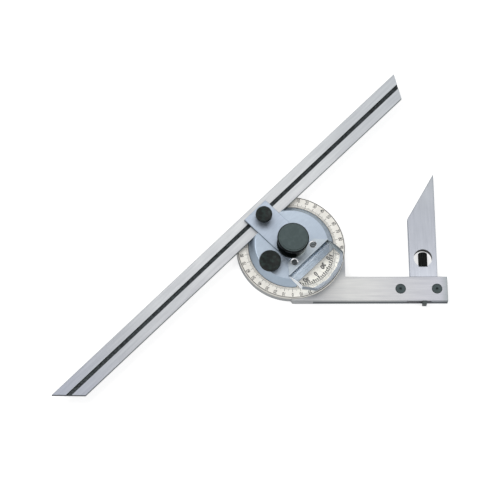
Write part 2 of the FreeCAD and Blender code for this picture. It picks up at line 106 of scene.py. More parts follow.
def meshOf(name, vertices, faces):
    mesh = bpy.data.meshes.new(name)
    mesh.from_pydata([tuple(vertex) for vertex in vertices], [], faces)
    mesh.validate()
    return mesh


def newObject(name, data):
    item = bpy.data.objects.new(name, data)
    bpy.context.scene.collection.objects.link(item)
    return item


def addPiece(name, mesh, material, body, replaced=None, sharpDegrees=30):
    mesh.materials.clear()
    mesh.materials.append(material)
    if sharpDegrees:
        mesh.shade_smooth()
        mesh.set_sharp_from_angle(angle=math.radians(sharpDegrees))
    piece = newObject(name, mesh)
    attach(piece, body)
    if replaced:
        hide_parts(replaced)


def turnedMesh(profile, steps, centre=(0, 0), reach=None, isRing=False):
    # A form turned about Z from (radius, height) points in millimetres. The profile's ends lie on the
    # axis, or it closes on itself when isRing. reach(angle, radius, height) gives a radius that varies.
    vertices, rows = [], []
    for radius, height in profile:
        first = len(vertices)
        if radius == 0:
            rows.append([first])
            vertices.append(Vector((centre[0], centre[1], height)) * mm)
            continue
        rows.append(list(range(first, first + steps)))
        for step in range(steps):
            angle = 2 * math.pi * step / steps
            out = reach(angle, radius, height) if reach else radius
            x, y = centre[0] + out * math.cos(angle), centre[1] + out * math.sin(angle)
            vertices.append(Vector((x, y, height)) * mm)
    faces = []
    following = rows[1:] + rows[:1] if isRing else rows[1:]
    for low, high in zip(rows, following):
        for step in range(steps):
            after = (step + 1) % steps
            corners = [low[step % len(low)], low[after % len(low)]]
            corners += [high[after % len(high)], high[step % len(high)]]
            faces.append(list(dict.fromkeys(corners)))
    return meshOf("turned", vertices, faces)


def blockMesh(low, high, place=None):
    # A box between two corners in millimetres. place moves a point to the row frame.
    corners = [(low[0], low[1]), (high[0], low[1]), (high[0], high[1]), (low[0], high[1])]
    points = [(x, y, z) for z in (low[2], high[2]) for x, y in corners]
    put = place or (lambda x, y, z: Vector((x, y, z)) * mm)
    return meshOf("block", [put(*point) for point in points], boxFaces)


def carve(mesh, cutters):
    # Takes the cutters' meshes out of the mesh and returns what is left.
    holders = [newObject("carving", shape) for shape in [mesh] + cutters]
    for cutter in holders[1:]:
        modifier = holders[0].modifiers.new("cut", "BOOLEAN")
        modifier.operation = "DIFFERENCE"
        modifier.solver = "EXACT"
        modifier.object = cutter
    graph = bpy.context.evaluated_depsgraph_get()
    left = bpy.data.meshes.new_from_object(holders[0].evaluated_get(graph))
    for holder in holders:
        shape = holder.data
        bpy.data.objects.remove(holder)
        bpy.data.meshes.remove(shape)
    return left


def joinMeshes(name, meshes):
    joined = bmesh.new()
    for mesh in meshes:
        joined.from_mesh(mesh)
        bpy.data.meshes.remove(mesh)
    result = bpy.data.meshes.new(name)
    joined.to_mesh(result)
    joined.free()
    return result


# Patterns that several finishes share

def wornSurface(tree, pattern, roughness, strength, depthMm):
    # Shine and fine relief that follow one pattern.
    low, high = roughness
    wear = addNode(tree, "ValToRGB", {"Fac": pattern}, [(0.3, grey(low)), (0.7, grey(high))])
    bump = addNode(tree, "Bump", {"Strength": strength, "Distance": depthMm * mm, "Height": pattern})
    return {"Roughness": wear, "Normal": bump}


def partsAlong(tree, place, turn):
    # X, Y and Z of a place in directions that are turned about Z.
    turned = addNode(tree, "VectorRotate", {"Vector": place, "Angle": -turn}, rotation_type="Z_AXIS")
    return addNode(tree, "SeparateXYZ", {"Vector": turned}).outputs


def fadeAlong(tree, place, fade):
    # Painted light and shade: a slow change of tone along one axis, in stops of millimetres and colours.
    value = partsAlong(tree, place, fade["turn"])[fade["axis"]]
    first, last = fade["stops"][0][0], fade["stops"][-1][0]
    spread = addNode(tree, "MapRange", {"Value": value, "From Min": first * mm, "From Max": last * mm})
    return addNode(tree, "ValToRGB", {"Fac": spread}, [
        ((level - first) / (last - first), linear(shade)) for level, shade in fade["stops"]])


def fadedShade(tree, place, shade, paintedLightFades):
    for fade in paintedLightFades:
        tone = fadeAlong(tree, place, fade)
        shade = addNode(tree, "MixRGB", {"Fac": 1.0, "Color1": shade, "Color2": tone}, blend_type="MULTIPLY")
    return shade


def plainSide(shade):
    # Painted shade and light on edges and walls: one tone for each use, a little cloudy, in clouds of about 3
    # mm.
    def build(tree, place):
        clouds = addNode(tree, "TexNoise", {"Vector": place, "Scale": 0.3 / mm, "Detail": 2.0})
        full = linear(shade)
        dim = (*(channel * 0.85 for channel in full[:3]), 1.0)
        return addNode(tree, "ValToRGB", {"Fac": clouds}, [(0.35, dim), (0.65, full)])
    return build


# Painted shade and reflection on the bar's front edge, by height, and painted light on the walls left of the
# bar.
paintedBarEdge = {
    "fromMm": 12.5,     # the bar's front edge lies beyond this X
    "height": {"turn": 0.0, "axis": "Z", "stops": [
        (0.0, "#fafcfd"), (0.5, "#c4cbce"), (1.2, "#545d64"), (3.0, "#626d74"), (3.9, "#d4dadc"),
        (5.0, "#f6f9fa")]},
    "walls": "#fafcfd",
}


def stockSide(tree, place):
    # Painted shade and reflection on the bar's front edge: dark in its middle and bright at its top and foot.
    # Left of the bar the walls under the dial are painted bright all over.
    height = fadeAlong(tree, place, paintedBarEdge["height"])
    along = addNode(tree, "SeparateXYZ", {"Vector": place}).outputs["X"]
    onBar = addNode(tree, "Math", {0: along, 1: paintedBarEdge["fromMm"] * mm}, operation="GREATER_THAN")
    walls = plainSide(paintedBarEdge["walls"])(tree, place)
    return addNode(tree, "MixRGB", {"Fac": onBar, "Color1": walls, "Color2": height})


# Painted tones for the attachment's walls: light on the outer walls, near black shade on the window's wall.
window = {"centreMm": (80.65, -6.6), "nearMm": 6.2, "outer": "#f2f3f6", "wall": "#0e1011"}


def attachmentSide(tree, place):
    # Painted light on the outer walls, and painted shade, near black, on the wall of the window.
    x, y = window["centreMm"]
    middle = addNode(tree, "VectorMath", {0: place, 1: (x * mm, y * mm, 0.0)}, operation="SUBTRACT")
    parts = addNode(tree, "SeparateXYZ", {"Vector": middle}).outputs
    flat = addNode(tree, "CombineXYZ", {"X": parts["X"], "Y": parts["Y"]})
    away = addNode(tree, "VectorMath", {0: flat}, operation="LENGTH").outputs["Value"]
    inside = addNode(tree, "Math", {0: away, 1: window["nearMm"] * mm}, operation="LESS_THAN")
    outer, wall = plainSide(window["outer"])(tree, place), plainSide(window["wall"])(tree, place)
    return addNode(tree, "MixRGB", {"Fac": inside, "Color1": outer, "Color2": wall})


def grooveShade(tree, place, shade, groove):
    # Painted shade: the inside of the blade's groove is coloured near black, with a little speckle.
    parts = partsAlong(tree, place, bladeSetAngle)
    offset = addNode(tree, "Math", {0: parts["Y"], 1: groove["centreMm"] * mm}, operation="SUBTRACT")
    away = addNode(tree, "Math", {0: offset}, operation="ABSOLUTE")
    near = addNode(tree, "Math", {0: away, 1: groove["reachMm"] * mm}, operation="LESS_THAN")
    above = addNode(tree, "Math", {0: parts["Z"], 1: groove["aboveMm"] * mm}, operation="GREATER_THAN")
    inside = addNode(tree, "Math", {0: near, 1: above}, operation="MULTIPLY")
    speckle = addNode(tree, "TexNoise", {"Vector": place, "Scale": 0.7 / mm, "Detail": 3.0})
    black = addNode(tree, "ValToRGB", {"Fac": speckle}, [(0.35, linear("#1f2223")), (0.7, linear("#3f4547"))])
    return addNode(tree, "MixRGB", {"Fac": inside, "Color1": shade, "Color2": black})


# Materials

def satinSteel(name, look):
    # Hardened tool steel, ground or rubbed in one direction: fine parallel scratches spread the highlight
    # along one way. Edges and slopes are tinted by the way they face, painted shade, and on some walls
    # painted light. Real scratches are too fine to show, so they are drawn 0.6 to 1.4 mm wide.
    material, tree = newMaterial(name)
    coordinates = addNode(tree, "TexCoord").outputs
    place = coordinates["Object"]
    laid = addNode(tree, "Mapping", {"Vector": place, "Rotation": (0, 0, look["grainTurn"]),
                                     "Scale": look["stretch"]}, vector_type="TEXTURE")
    scratches = addNode(tree, "TexNoise", {"Vector": laid, "Scale": look["grainPerMm"] / mm,
                                           "Detail": 4.0, "Roughness": 0.65})
    clouds = addNode(tree, "TexNoise", {"Vector": place, "Scale": look["cloudPerM"], "Detail": 3.0})
    blend = addNode(tree, "MixRGB", {"Fac": 0.5, "Color1": scratches, "Color2": clouds})
    shade = addNode(tree, "ValToRGB", {"Fac": blend}, [
        (0.34, linear(look["rubbed"])), (0.66, linear(look["face"]))])
    # Painted shade and light by facing: slopes take the slope tint, upright walls the side tone, and faces
    # that look straight up or down keep their colour.
    upward = addNode(tree, "SeparateXYZ", {"Vector": coordinates["Normal"]}).outputs["Z"]
    facing = addNode(tree, "Math", {0: upward}, operation="ABSOLUTE")
    slope = linear(look["slope"])
    paintedFacingTint = addNode(tree, "ValToRGB", {"Fac": facing}, [(0.5, slope), (0.9, slope), (0.97, grey(1.0))])
    isSide = addNode(tree, "Math", {0: facing, 1: 0.35}, operation="LESS_THAN")
    paintedFacingTint = addNode(tree, "MixRGB", {"Fac": isSide, "Color1": paintedFacingTint, "Color2": look["side"](tree, place)})
    shade = addNode(tree, "MixRGB", {"Fac": 1.0, "Color1": shade, "Color2": paintedFacingTint}, blend_type="MULTIPLY")
    shade = fadedShade(tree, place, shade, look.get("paintedLightFades", []))
    if "groove" in look:
        shade = grooveShade(tree, place, shade, look["groove"])
    worn = wornSurface(tree, scratches, look["roughness"], 0.2, 0.02)
    shader = addNode(tree, "BsdfPrincipled", {"Base Color": shade, "Metallic": 0.8, **worn})
    addNode(tree, "OutputMaterial", {"Surface": shader})
    return material


def satinChrome():
    # Matt chrome plate over fine blasting, grit of about 0.4 mm as drawn: an even, creamy white.
    material, tree = newMaterial("satin_chrome")
    place = addNode(tree, "TexCoord").outputs["Object"]
    grit = addNode(tree, "TexNoise", {"Vector": place, "Scale": 2.2 / mm, "Detail": 3.0})
    clouds = addNode(tree, "TexNoise", {"Vector": place, "Scale": 0.09 / mm, "Detail": 2.0})
    shade = addNode(tree, "ValToRGB", {"Fac": clouds}, [(0.35, linear("#e4e1da")), (0.65, linear("#f1efe8"))])
    worn = wornSurface(tree, grit, (0.42, 0.54), 0.2, 0.02)
    shader = addNode(tree, "BsdfPrincipled", {"Base Color": shade, "Metallic": 0.4, **worn})
    addNode(tree, "OutputMaterial", {"Surface": shader})
    return material


def blackFinish(name, look):
    # Blackened steel or phenolic: near black, with grey where hands have rubbed the high spots, in
    # patches of about 2 mm.
    material, tree = newMaterial(name)
    place = addNode(tree, "TexCoord").outputs["Object"]
    grit = addNode(tree, "TexNoise", {"Vector": place, "Scale": look["gritPerMm"] / mm, "Detail": 4.0})
    rubbed = addNode(tree, "TexNoise", {"Vector": place, "Scale": 0.45 / mm, "Detail": 3.0})
    shade = addNode(tree, "ValToRGB", {"Fac": rubbed}, [
        (0.45, linear(look["face"])), (0.75, linear(look["rubbed"]))])
    worn = wornSurface(tree, grit, look["roughness"], 0.3, 0.03)
    shader = addNode(tree, "BsdfPrincipled", {
        "Base Color": shade, "Specular IOR Level": look["specular"], **worn})
    addNode(tree, "OutputMaterial", {"Surface": shader})
    return material


def turnedSteel(name, faceHex, rubbedHex, roughness, paintedLightFades=()):
    # Steel off a small lathe: marks about 0.25 mm apart, too fine to resolve from far.
    material, tree = newMaterial(name)
    place = addNode(tree, "TexCoord").outputs["Object"]
    marks = addNode(tree, "TexNoise", {"Vector": place, "Scale": 4.0 / mm, "Detail": 2.0})
    shade = addNode(tree, "ValToRGB", {"Fac": marks}, [(0.35, linear(rubbedHex)), (0.65, linear(faceHex))])
    shade = fadedShade(tree, place, shade, paintedLightFades)
    worn = wornSurface(tree, marks, roughness, 0.2, 0.02)
    shader = addNode(tree, "BsdfPrincipled", {"Base Color": shade, "Metallic": 0.9, **worn})
    addNode(tree, "OutputMaterial", {"Surface": shader})
    return material


def engravingPaint():
    # Black filler in the engraved lines, a little uneven where it was wiped off.
    material, tree = newMaterial("engraving_paint")
    place = addNode(tree, "TexCoord").outputs["Object"]
    wiped = addNode(tree, "TexNoise", {"Vector": place, "Scale": 1.5 / mm, "Detail": 2.0})
    shade = addNode(tree, "ValToRGB", {"Fac": wiped}, [(0.4, linear("#141416")), (0.7, linear("#2c2c2e"))])
    shader = addNode(tree, "BsdfPrincipled", {"Base Color": shade, "Roughness": 0.55})
    addNode(tree, "OutputMaterial", {"Surface": shader})
    return material


def lensGlass():
    # Polished acrylic or glass. Light for the scale passes straight through, so no dark shadow is thrown.
    material, tree = newMaterial("optical_glass")
    place = addNode(tree, "TexCoord").outputs["Object"]
    haze = addNode(tree, "TexNoise", {"Vector": place, "Scale": 0.4 / mm, "Detail": 2.0})
    wear = addNode(tree, "ValToRGB", {"Fac": haze}, [(0.4, grey(0.0)), (0.8, grey(0.02))])
    solid = addNode(tree, "BsdfPrincipled", {"Base Color": linear("#fdfcfa"), "Roughness": wear, "IOR": 1.5,
                                             "Transmission Weight": 1.0})
    clear = addNode(tree, "BsdfTransparent", {"Color": linear("#eef3f6")})
    shadow = addNode(tree, "LightPath").outputs["Is Shadow Ray"]
    shader = addNode(tree, "MixShader", {0: shadow, 1: solid, 2: clear})
    addNode(tree, "OutputMaterial", {"Surface": shader})
    return material


def groundGlass(name, faceHex, shadedHex, glow):
    # The lens's ends and rim, left matt by the saw, in tones of painted light and shade. Their emission is a
    # painted glow, standing in for light scattered inside.
    material, tree = newMaterial(name)
    place = addNode(tree, "TexCoord").outputs["Object"]
    grit = addNode(tree, "TexNoise", {"Vector": place, "Scale": 2.0 / mm, "Detail": 3.0})
    shade = addNode(tree, "ValToRGB", {"Fac": grit}, [(0.3, linear(shadedHex)), (0.7, linear(faceHex))])
    bump = addNode(tree, "Bump", {"Strength": 0.4, "Distance": 0.05 * mm, "Height": grit})
    shader = addNode(tree, "BsdfPrincipled", {
        "Base Color": shade, "Roughness": 0.5, "IOR": 1.5, "Emission Color": shade,
        "Emission Strength": glow, "Normal": bump})
    addNode(tree, "OutputMaterial", {"Surface": shader})
    return material


# In these looks each side and slope tint is painted shade and light by facing, and each fade is painted light
# and shade along one axis.
stockSteel = satinSteel("ground_tool_steel", {
    "face": "#d2d2d0", "rubbed": "#c0c1c2", "side": stockSide, "slope": "#d8d8d8", "grainPerMm": 1.0,
    "grainTurn": 0.0, "stretch": (22.0, 1.0, 1.0), "cloudPerM": 28.0, "roughness": (0.3, 0.42),
    "paintedLightFades": [
        {"turn": 0.0, "axis": "X", "stops": [
            (-33.0, "#d2d3d4"), (10.0, "#dcdde0"), (24.0, "#f0f0f1"), (34.0, "#ffffff"), (62.0, "#fbfbff"),
            (90.0, "#f3f4ff"), (95.0, "#ced6db")]},
        {"turn": 0.0, "axis": "Y", "stops": [
            (-35.0, "#ffffff"), (-21.0, "#ffffff"), (-14.5, "#dadde2"), (0.0, "#d0d4da")]},
    ],
})
bladeSteel = satinSteel("ground_blade_steel", {
    "face": "#d0d2d3", "rubbed": "#b9bbbf", "side": plainSide("#7b8184"), "slope": "#c8cbcc",
    "grainPerMm": 1.0, "grainTurn": bladeSetAngle, "stretch": (26.0, 1.0, 1.0), "cloudPerM": 22.0,
    "roughness": (0.3, 0.42),
    "groove": {"centreMm": 27.0, "reachMm": 1.27, "aboveMm": 8.25},     # just past its walls and its floor
    "paintedLightFades": [{"turn": bladeSetAngle, "axis": "X", "stops": [
        (-173.0, "#c4c7d2"), (-120.0, "#d9dadd"), (-50.0, "#fbfbfb"), (20.0, "#ffffff"),
        (127.0, "#eff2f5")]}],
})
turretLook = {
    "face": "#b7c3d0", "rubbed": "#a6b2c0", "side": plainSide("#8a9298"), "slope": "#f4f8fa",
    "grainPerMm": 1.6, "grainTurn": bladeSetAngle, "stretch": (6.0, 1.0, 1.0), "cloudPerM": 60.0,
    "roughness": (0.32, 0.42),
}
turretSteel = satinSteel("satin_turret_steel", turretLook)
armSteel = satinSteel("satin_arm_steel", dict(
    turretLook, face="#b9c4d2", rubbed="#a6b1c0", side=plainSide("#6a7176")))
bracketSteel = satinSteel("satin_bracket_steel", dict(
    turretLook, face="#c0cad2", rubbed="#aeb8c0", side=plainSide("#a3a9ad")))
shelfSteel = satinSteel("milled_shelf_steel", dict(
    turretLook, face="#c4d2e2", rubbed="#84909e", stretch=(40.0, 1.0, 1.0), grainPerMm=0.7,
    paintedLightFades=[{"turn": bladeSetAngle, "axis": "X", "stops": [
        (-16.0, "#ffffff"), (0.0, "#f4f6f8"), (7.0, "#c2c9cf"), (18.0, "#aab1b8")]}]))
attachmentSteel = satinSteel("satin_attachment_steel", {
    "face": "#d2d6df", "rubbed": "#c2c6d0", "side": attachmentSide, "slope": "#c8ccd0", "grainPerMm": 1.0,
    "grainTurn": 0.0, "stretch": (1.0, 20.0, 1.0), "cloudPerM": 50.0, "roughness": (0.32, 0.44),
    "paintedLightFades": [{"turn": 0.0, "axis": "Y", "stops": [
        (-19.0, "#ffffff"), (-13.0, "#f8f8f8"), (0.0, "#e8e8e8"), (20.0, "#e2e2e2"), (48.0, "#e1e2de")]}],
})
screwSteel = turnedSteel("bright_screw_steel", "#d4d6d8", "#b8babd", (0.22, 0.34))
plainSteel = turnedSteel("turned_steel", "#b6b8ba", "#9a9c9e", (0.28, 0.4))
frameScrewSteel = turnedSteel("oiled_screw_steel", "#7c8285", "#4c5255", (0.3, 0.42))
boltSteel = turnedSteel("dull_bolt_steel", "#5c6262", "#343a3a", (0.36, 0.46))
# The washer's fade is painted shade on its front and painted light on its right side.
washerSteelPaintedLight = turnedSteel("washer_steel_painted_light", "#b4bcbb", "#9aa3a2", (0.36, 0.46), [
    {"turn": 0.0, "axis": "X", "stops": [
        (-9.3, "#20282a"), (2.0, "#20282a"), (6.0, "#ffffff"), (9.3, "#ffffff")]}])
dialChrome = satinChrome()
blackLook = {"face": "#070d0c", "rubbed": "#243330", "gritPerMm": 2.5, "roughness": (0.4, 0.54),
             "specular": 0.24}
blackSteel = blackFinish("blackened_steel", blackLook)
nutSteel = blackFinish("blackened_nut_steel", dict(
    blackLook, face="#020403", rubbed="#141a17", specular=0.1))
greySteel = blackFinish("phosphated_screw_steel", dict(     # phosphate leaves a dull, greener grey
    blackLook, face="#3b4748", rubbed="#495658", roughness=(0.4, 0.5), specular=0.4))
phenolicLook = {"face": "#05080a", "rubbed": "#0d1314", "gritPerMm": 3.0, "roughness": (0.4, 0.5),
                "specular": 0.1}
blackPlastic = blackFinish("black_phenolic", phenolicLook)
capPaintedLight = blackFinish("cap_grey_painted_light", dict(          # painted a lighter grey than the black moulding, for the light on its top, and smoother
    phenolicLook, face="#384849", rubbed="#455556", roughness=(0.34, 0.44), specular=0.5))
paint = engravingPaint()
glass = lensGlass()
paintedLightGlass = groundGlass("glass_edge_painted_light", "#f6f8fa", "#dfe5ea", 0.35)
paintedShadeGlass = groundGlass("shaded_glass_rim", "#a4acb3", "#8891a0", 0.1)
darkPaintedShadeGlass = groundGlass("shaded_glass_end", "#8b969b", "#757f86", 0.08)

finishes = {
    "stock_steel": stockSteel,
    "dial_satin_chrome": dialChrome,
    "turret_satin_steel": turretSteel,
    "blade_steel": bladeSteel,
    "attachment_steel": attachmentSteel,
    "black_finished_steel": blackSteel,
    "black_plastic": blackPlastic,
    "plain_steel": plainSteel,
    "lens_glass": glass,
}
ownFinishes = {"blade_arm": armSteel, "attachment_bolt": boltSteel}
for subpart in frame["record"]["subparts"]:
    node = subpart["node"]
    cadMesh = frame["nodes"][node].data
    cadMesh.materials.clear()
    cadMesh.materials.append(ownFinishes.get(node, finishes[subpart["material_slot"]]))
print("materials set on", len(finishes), "slots")


# Dial and vernier engraving

dial = {
    "innerMm": 26.0,
    "outerMm": 33.0,
    "lowMm": 4.0,
    "topMm": 6.0,
    "bevelMm": 0.25,
    "paintMm": 0.02,                                # the paint stands this much proud, to show
    "lineInnerMm": 26.35,
    "lineLengthsMm": {10: 2.7, 5: 2.0, 1: 1.4},     # the longest for each ten degrees
    "lineWidthMm": 0.13,
    "tenWidth": 1.7,                                # each ten's line is this many times as wide
    # Black ring lines: one inside the outer edge, and one at the inner edge that is painted shade of the gap
    # beside the turret.
    "ringLinesMm": [(32.35, 32.75), (26.02, 26.26)],
    "numberRadiusMm": 30.75,
    "numberSizeMm": 3.3,
    "numberWeight": 0.014,
    "numberStretch": (0.64, 1.0),                   # narrow figures
}
vernier = {
    "innerMm": -19.92,
    "leftMm": -16.28,
    "rightMm": 18.28,
    "radiusMm": 25.95,
    "lowMm": 5.0,
    "edgeMm": 0.1,
    "zeroDegrees": -5.4,        # from the middle of the lens, against the turn of the dial
    "stepDegrees": 18.2 / 6,    # one line for five minutes, as wide as it looks under the magnifier
    "linesEachWay": 12,
    "lineMm": 1.0,
    "longLineMm": 1.4,          # each third line
    "lineWidthMm": 0.8,
    "lineMarginMm": 0.15,
    "numberPlacesMm": {-6: (-9.2, -21.6), 0: (-2.3, -22.5), 6: (4.6, -22.2), 12: (11.2, -20.8)},
    "numberSizeMm": 3.7,
    "numberWeight": 0.052,
    "numberStretch": (0.95, 0.72),
    "pointerMm": 1.3,
    "pointerGapMm": 0.5,
}
paintLevels = (dial["topMm"] - dial["paintMm"], dial["topMm"] + dial["paintMm"])


def paintedPoints(outline):
    # The outline's points in metres, under the face and above it.
    return [(corner + Vector((0, 0, level))) * mm for level in paintLevels for corner in outline]


def directionsAt(angle):
    along = Vector((math.cos(angle), math.sin(angle), 0))
    return along, Vector((-along.y, along.x, 0))


def radialLine(angle, inner, outer, width):
    # A thin flat bar that points outward: eight corners in metres.
    along, aside = directionsAt(angle)
    half = aside * width / 2
    return paintedPoints([along * inner - half, along * outer - half, along * outer + half,
                          along * inner + half])


def linesMesh(lines):
    vertices, faces = [], []
    for line in lines:
        first = len(vertices)
        vertices += line
        faces += [tuple(first + index for index in face) for face in boxFaces]
    return meshOf("lines", vertices, faces)


def ringLine(inner, outer):
    low, high = paintLevels
    return turnedMesh([(inner, low), (outer, low), (outer, high), (inner, high)], discSteps, isRing=True)


def numberMesh(text, look, place, angle):
    # A plain number in paint, with the figures' tops pointing outward along the angle.
    size = look["numberSizeMm"] * mm
    curve = bpy.data.curves.new("number", "FONT")
    curve.body = text
    curve.size = size
    curve.align_x = "CENTER"
    curve.align_y = "CENTER"
    curve.offset = size * look["numberWeight"]
    curve.extrude = dial["paintMm"] * mm
    holder = newObject("number", curve)
    bpy.context.view_layer.update()
    mesh = bpy.data.meshes.new_from_object(holder)
    turn = Matrix.Rotation(angle - math.pi / 2, 4, "Z")
    mesh.transform(Matrix.Translation(place) @ turn @ Matrix.Diagonal((*look["numberStretch"], 1.0, 1.0)))
    bpy.data.objects.remove(holder)
    bpy.data.curves.remove(curve)
    return mesh


def addPaint(name, meshes, body):
    addPiece(name, joinMeshes(name, meshes), paint, body, sharpDegrees=None)


def addDial():
    inner, outer, low, top, bevel = (dial[key] for key in ("innerMm", "outerMm", "lowMm", "topMm", "bevelMm"))
    profile = [(inner, low), (outer, low), (outer, top - bevel), (outer - bevel, top)]
    profile += [(inner + bevel / 2, top), (inner, top - bevel / 2)]
    ring = turnedMesh(profile, discSteps, isRing=True)
    addPiece("dial_ring_turned", ring, dialChrome, "base", "dial_ring")
    lengths, start = dial["lineLengthsMm"], dial["lineInnerMm"]
    lines, numbers = [], []
    for degree in range(360):
        marked = next(degrees for degrees in lengths if degree % degrees == 0)
        width = dial["lineWidthMm"] * (dial["tenWidth"] if marked == 10 else 1.0)
        lines.append(radialLine(math.radians(degree), start, start + lengths[marked], width))
    for degree in range(0, 360, 10):
        along, _ = directionsAt(math.radians(degree))
        place = (along * dial["numberRadiusMm"] + Vector((0, 0, top))) * mm
        numbers.append(numberMesh(str(abs(90 - degree % 180)), dial, place, math.radians(degree)))
    addPaint("dial_lines", [linesMesh(lines)] + [ringLine(*limits) for limits in dial["ringLinesMm"]], "base")
    addPaint("dial_numbers", numbers, "base")


def addVernier():
    radius, low, top, edge = vernier["radiusMm"], vernier["lowMm"], dial["topMm"], vernier["edgeMm"]
    profile = [(0, low), (radius, low), (radius, top - edge), (radius - edge, top), (0, top)]
    far, under, over = radius + pastMm, low - pastMm, top + pastMm
    boxes = [((-far, vernier["innerMm"], under), (far, far, over)),
             ((-far, -far, under), (vernier["leftMm"], far, over)),
             ((vernier["rightMm"], -far, under), (far, far, over))]
    plate = carve(turnedMesh(profile, discSteps), [blockMesh(*box, onTurret) for box in boxes])
    addPiece("vernier_plate_cut", plate, dialChrome, "turret", "vernier_plate")
    zero = bladeSetAngle + math.radians(vernier["zeroDegrees"] - 90)
    step = math.radians(vernier["stepDegrees"])
    outer = radius - vernier["lineMarginMm"]
    lines, numbers = [], []
    for line in range(-vernier["linesEachWay"], vernier["linesEachWay"] + 1):
        length = vernier["longLineMm"] if line % 3 == 0 else vernier["lineMm"]
        lines.append(radialLine(zero + line * step, outer - length, outer, vernier["lineWidthMm"]))
    for line, (x, y) in vernier["numberPlacesMm"].items():
        numbers.append(numberMesh(str(abs(line) * 5), vernier, onTurret(x, y, top), zero + line * step))
    pointer = zeroPointer(zero, radius - vernier["longLineMm"] - vernier["pointerGapMm"])
    addPaint("vernier_lines", [linesMesh(lines), pointer], "turret")
    addPaint("vernier_numbers", numbers, "turret")


def zeroPointer(angle, radius):
    # A small filled triangle that points outward to the zero line.
    along, aside = directionsAt(angle)
    half = aside * vernier["pointerMm"] / 2
    points = paintedPoints([along * radius - half, along * (radius + vernier["pointerMm"]),
                            along * radius + half])
    return meshOf("pointer", points, [(2, 1, 0), (3, 4, 5), (0, 1, 4, 3), (1, 2, 5, 4), (2, 0, 3, 5)])


addDial()
addVernier()
print("dial and vernier engraved")


# Turret

turret = {
    "boreMm": 4.05,
    "rimMm": 25.95,
    "plateauMm": 22.3,
    "bottomMm": 4.05,
    "rimTopMm": 6.0,
    "topMm": 10.5,
    "edgeMm": 0.12,
    "armSideMm": 9.17,          # half the width of the arm's seat
    "armInnerMm": -6.22,
    "armFloorMm": 9.25,
    "bladeInnerMm": 19.7,
    "bladeFloorMm": 6.85,
    "notchMm": (-16.3, 18.3),   # left and right side of the magnifier's notch
    "lensSeatMm": -13.38,
    "shelfMm": 8.98,
    "vernierSeatMm": -19.9,
    "vernierFloorMm": 5.0,
    "pinionBoreMm": 1.55,
    "pinionRadiusMm": 18.25,
    "pinionDegrees": 176.5,     # from the blade's direction
}
pinionAlong, _ = directionsAt(math.radians(turret["pinionDegrees"]) + bladeSetAngle)
pinionCentre = tuple(pinionAlong * turret["pinionRadiusMm"])[:2]


def addTurret():
    bore, bottom, rim, edge = turret["boreMm"], turret["bottomMm"], turret["rimMm"], turret["edgeMm"]
    top, flat, rimTop = turret["topMm"], turret["plateauMm"], turret["rimTopMm"]
    profile = [(bore, bottom), (rim, bottom), (rim, rimTop - edge), (rim - edge, rimTop)]
    profile += [(flat + edge, top - edge), (flat - edge, top), (bore, top)]
    far, over = rim + pastMm, top + pastMm
    left, right = turret["notchMm"]
    side, hole = turret["armSideMm"], turret["pinionBoreMm"]
    boxes = [((-far, turret["bladeInnerMm"], turret["bladeFloorMm"]), (far, far, over)),
             ((-side, turret["armInnerMm"], turret["armFloorMm"]), (side, far, over)),
             ((left, -far, turret["shelfMm"]), (right, turret["lensSeatMm"], over)),
             ((left, -far, turret["vernierFloorMm"]), (right, turret["vernierSeatMm"], over))]
    cutters = [blockMesh(*box, onTurret) for box in boxes]
    under = bottom - pastMm
    cutters.append(turnedMesh([(0, under), (hole, under), (hole, over), (0, over)], 32, pinionCentre))
    mesh = carve(turnedMesh(profile, discSteps, isRing=True), cutters)
    addPiece("turret_turned", mesh, turretSteel, "turret", "turret_body", 20)
    mesh.materials.append(shelfSteel)
    for polygon in mesh.polygons:
        if abs(polygon.center.z - turret["shelfMm"] * mm) < sameMm * mm:
            polygon.material_index = 1


bracket = {
    "lowMm": 10.5,
    "footTopMm": 11.3,
    "flangeTopMm": 12.4,
    "flangeMm": (-13.4, -12.6),
    "endsMm": (-16.0, 18.0),
    "innerMm": -6.8,
    "innerEndsMm": (-10.3, 12.3),
    "screwsMm": ((-7.1, -9.1), (9.1, -9.1)),
    "boreMm": 1.62,
    "countersinkMm": 2.35,
    "countersinkDepthMm": 0.4,
}


def addBracket():
    # The magnifier's foot plate and upright flange, with bright countersinks round its two screws.
    low, top, flangeTop = bracket["lowMm"], bracket["footTopMm"], bracket["flangeTopMm"]
    (left, right), (outer, inner) = bracket["endsMm"], bracket["flangeMm"]
    (footLeft, footRight), footInner = bracket["innerEndsMm"], bracket["innerMm"]
    share = (inner - outer) / (footInner - outer)
    outline = [(footLeft, footInner), (left + (footLeft - left) * share, inner)]
    outline += [(right + (footRight - right) * share, inner), (footRight, footInner)]
    foot = meshOf("foot", [onTurret(x, y, z) for z in (low, top) for x, y in outline], boxFaces)
    bore, sink, under, over = bracket["boreMm"], bracket["countersinkMm"], low - pastMm, top + pastMm
    profile = [(0, under), (bore, under), (bore, top - bracket["countersinkDepthMm"]), (sink, top)]
    profile += [(sink, over), (0, over)]
    foot = carve(foot, [turnedMesh(profile, 40, place) for place in placesOnTurret(bracket["screwsMm"])])
    flange = blockMesh((left, outer, low), (right, inner, flangeTop), onTurret)
    mesh = joinMeshes("bracket", [foot, flange])
    addPiece("lens_frame_milled", mesh, bracketSteel, "turret", "lens_frame", 20)
    mesh.materials.append(screwSteel)
    for polygon in mesh.polygons:
        if 0.3 < polygon.normal.z < 0.9:    # only the countersinks slant
            polygon.material_index = 1


addTurret()
addBracket()


# Magnifier

